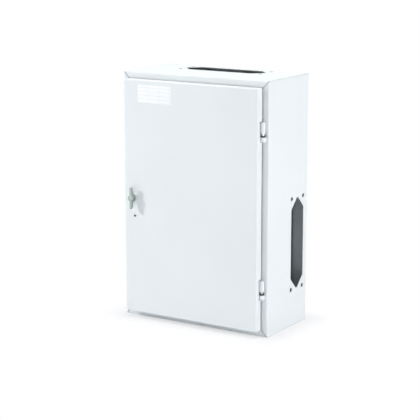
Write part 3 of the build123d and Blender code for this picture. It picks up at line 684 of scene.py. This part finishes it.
dress(film, "rating_label")


# Studio: the unit stands on a plain white floor under a broad soft lamp. A small lamp at the upper
# left throws the knob's shadow, a weak one near the floor lifts the lower door, and two more light
# the right wall and the back.
floor_half = 30.0
shadow_reach = 0.07         # from the body out
shadow_white = 0.5          # share of white at the foot of the body
scene = bpy.context.scene
low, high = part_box("enclosure_body")
mesh = bmesh.new()
bmesh.ops.create_grid(mesh, x_segments=1, y_segments=1, size=floor_half)
data = bpy.data.meshes.new("floor")
mesh.to_mesh(data)
mesh.free()
floor = bpy.data.objects.new("floor", data)
floor.location = (0, low.y / 2, low.z)
scene.collection.objects.link(floor)

# Paper floor: seen directly and in reflections it is nearly white, and near the body it keeps a part of its
# own lit colour, so the shadow shows. The share of white falls from the body out along a fixed ramp, which
# also lays a painted shade round the foot of the body.
paper = new_material("white_paper_floor")
path = add_node(paper, "ShaderNodeLightPath", {})
seen = add_node(
    paper, "ShaderNodeMath", {0: path.outputs["Is Camera Ray"], 1: path.outputs["Is Glossy Ray"]},
    operation="MAXIMUM",
)
seen = add_node(
    paper, "ShaderNodeMath", {0: seen.outputs[0], 1: path.outputs["Is Transmission Ray"]},
    operation="MAXIMUM",
)
place = add_node(paper, "ShaderNodeTexCoord", {}).outputs["Object"]
away = add_node(paper, "ShaderNodeVectorMath", {0: place}, operation="ABSOLUTE")
away = add_node(
    paper, "ShaderNodeVectorMath", {0: away.outputs["Vector"], 1: (high.x, -low.y / 2, 0)},
    operation="SUBTRACT",
)
away = add_node(paper, "ShaderNodeVectorMath", {0: away.outputs["Vector"]}, operation="MAXIMUM")
away = add_node(paper, "ShaderNodeVectorMath", {0: away.outputs["Vector"]}, operation="LENGTH")
# The ramp darkens the floor near the body whatever the lamps do: painted shade round the foot, mixed with
# the real shadow.
glow = add_node(
    paper, "ShaderNodeMapRange",
    {"Value": away.outputs["Value"], "From Max": shadow_reach, "To Min": shadow_white, "To Max": 1.0},
    interpolation_type="SMOOTHSTEP",
)
share = add_node(
    paper, "ShaderNodeMath", {0: seen.outputs[0], 1: glow.outputs["Result"]}, operation="MULTIPLY"
)
lit = add_node(paper, "ShaderNodeBsdfDiffuse", {"Color": to_linear("#EFF1F4")})
white = add_node(paper, "ShaderNodeEmission", {"Color": (1, 1, 1, 1), "Strength": 1.0})
shader = add_node(
    paper, "ShaderNodeMixShader",
    {0: share.outputs[0], 1: lit.outputs["BSDF"], 2: white.outputs["Emission"]},
)
add_node(paper, "ShaderNodeOutputMaterial", {"Surface": shader.outputs[0]})
data.materials.append(paper)

# Surroundings: white where the camera, a reflection or a clear piece sees them, and a dim even light
# on everything else.
world = bpy.data.worlds.new("studio")
scene.world = world
world.use_nodes = True
world.node_tree.nodes.clear()
path = add_node(world, "ShaderNodeLightPath", {})
seen = add_node(
    world, "ShaderNodeMath", {0: path.outputs["Is Camera Ray"], 1: path.outputs["Is Glossy Ray"]},
    operation="MAXIMUM",
)
seen = add_node(
    world, "ShaderNodeMath", {0: seen.outputs[0], 1: path.outputs["Is Transmission Ray"]},
    operation="MAXIMUM",
)
soft = add_node(world, "ShaderNodeBackground", {"Color": (1, 1, 1, 1), "Strength": 0.10})
white = add_node(world, "ShaderNodeBackground", {"Color": (1, 1, 1, 1), "Strength": 1.0})
shader = add_node(
    world, "ShaderNodeMixShader",
    {0: seen.outputs[0], 1: soft.outputs["Background"], 2: white.outputs["Background"]},
)
add_node(world, "ShaderNodeOutputWorld", {"Surface": shader.outputs[0]})

# Lamps: where each stands, what it points at, its width and height, and its power.
for name, spot, aim, width, height, watts in (
    ("overhead", (0.2, -0.1, 2.3), (0, -0.1, 0), 2.0, 2.0, 42.5),
    ("left_key", (-2.76, -1.72, 1.4), (0, -0.1, 0), 0.35, 0.35, 70.0),
    ("low_front", (-0.2, -2.4, 0.0), (0, -0.1, -0.1), 2.0, 0.5, 9.0),
    ("right", (2.6, -0.4, 0.4), (0, -0.1, 0), 1.6, 1.6, 42.0),
    ("rear", (-0.5, 2.6, 0.45), (0, -0.1, 0), 0.8, 0.8, 26.0),
):
    lamp = bpy.data.lights.new(name, "AREA")
    lamp.shape = "RECTANGLE"
    lamp.size = width
    lamp.size_y = height
    lamp.energy = watts
    light = bpy.data.objects.new(name, lamp)
    light.location = spot
    light.rotation_euler = (Vector(aim) - Vector(spot)).to_track_quat("-Z", "Y").to_euler()
    scene.collection.objects.link(light)

# Camera: a long lens from the front right, a little above the unit.
camera = bpy.data.objects.new("camera", bpy.data.cameras.new("camera"))
camera.data.sensor_width = 36.0
camera.data.lens = 121.5
camera.location = (1.76672, -2.94684, 0.68139)
aim = Vector((0.03276, -0.17180, -0.01695)) - camera.location
camera.rotation_euler = aim.to_track_quat("-Z", "Y").to_euler()
scene.collection.objects.link(camera)
scene.camera = camera
scene.view_settings.view_transform = "Standard"
